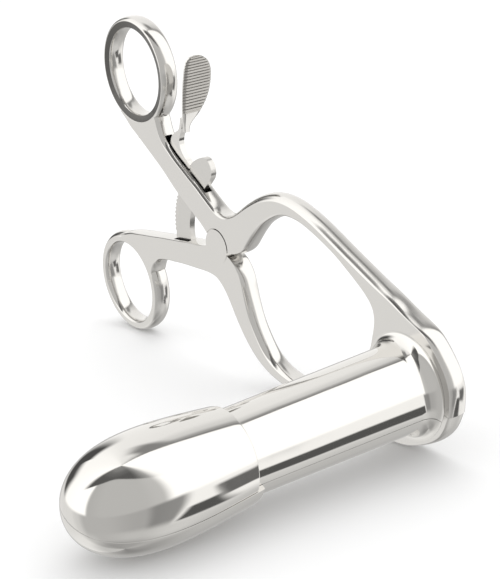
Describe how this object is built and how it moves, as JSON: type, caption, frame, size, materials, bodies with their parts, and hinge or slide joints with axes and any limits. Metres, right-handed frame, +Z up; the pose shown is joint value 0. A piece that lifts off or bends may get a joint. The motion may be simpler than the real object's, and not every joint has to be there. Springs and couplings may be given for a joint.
{
  "type": "anal speculum",
  "caption": "Self-retaining bivalve speculum: squeezing the ring handles parts hollow half-tube blades with a bulbed tip, held open by a toothed bar and sprung thumb release.",
  "frame": {"origin": "centre of the main pivot, on the front of its boss, which stands 0.1 mm above the levers' front face (the side the blades are on)", "axes": "+Y from the levers' front face to their back face, along the pivots; the blades point along -Y. +Z up when the instrument lies on the flange and the lower ring; +X from the rings to the flange."},
  "size_m": [0.1799, 0.1222, 0.1119],
  "materials": {
    "polished_steel": "mirror polished stainless steel",
    "blade_steel": "mirror polished stainless steel",
    "screw_steel": "polished stainless steel",
    "satin_steel": "polished stainless steel, ridged pad satin",
    "spring_steel": "polished spring steel"
  },
  "bodies": {
    "lower": {"lower_lever": "polished_steel", "lower_blade": "blade_steel", "pivot_screw": "screw_steel", "ratchet_bar": "polished_steel", "ratchet_bar_pin": "screw_steel"},
    "upper": {"upper_lever": "polished_steel", "upper_blade": "blade_steel", "release_lever_pin": "screw_steel", "leaf_spring": "spring_steel", "spring_screw": "screw_steel"},
    "release": {"release_lever": "satin_steel"}
  },
  "joints": [
    {"name": "main_hinge", "type": "hinge", "parent": "lower", "child": "upper", "pos_m": [0, 0.0032, 0], "axis": [0, -1, 0], "range_deg": [0, 32]},
    {"name": "release_hinge", "type": "hinge", "parent": "upper", "child": "release", "pos_m": [-0.02273, 0.0032, 0.02225], "axis": [0, -1, 0], "range_deg": [0, 6], "stiffness_Nm_per_rad": 0.05, "springref_deg": -11.46}
  ]
}
